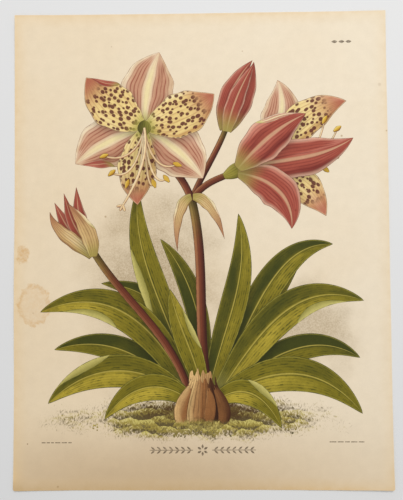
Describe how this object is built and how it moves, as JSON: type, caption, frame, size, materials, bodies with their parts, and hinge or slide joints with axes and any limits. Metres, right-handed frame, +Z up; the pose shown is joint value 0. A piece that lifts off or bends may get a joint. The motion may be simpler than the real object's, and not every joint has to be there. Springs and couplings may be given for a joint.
{
  "type": "botanical print",
  "caption": "Antique colour-printed botanical plate: one loose unframed sheet of heavy cream paper with gently curled corners, lying face up.",
  "frame": {"origin": "centre of the sheet's underside, on the surface it lies on", "axes": "+Z up out of the printed face, +Y to the top edge of the picture, +X to its right-hand edge"},
  "size_m": [0.24, 0.305, 0.0025],
  "materials": {
    "aged_paper": "matt cream wove paper, toned at the edges, with water stains and printed litho inks"
  },
  "bodies": {
    "root": {"sheet": "aged_paper"}
  },
  "joints": []
}
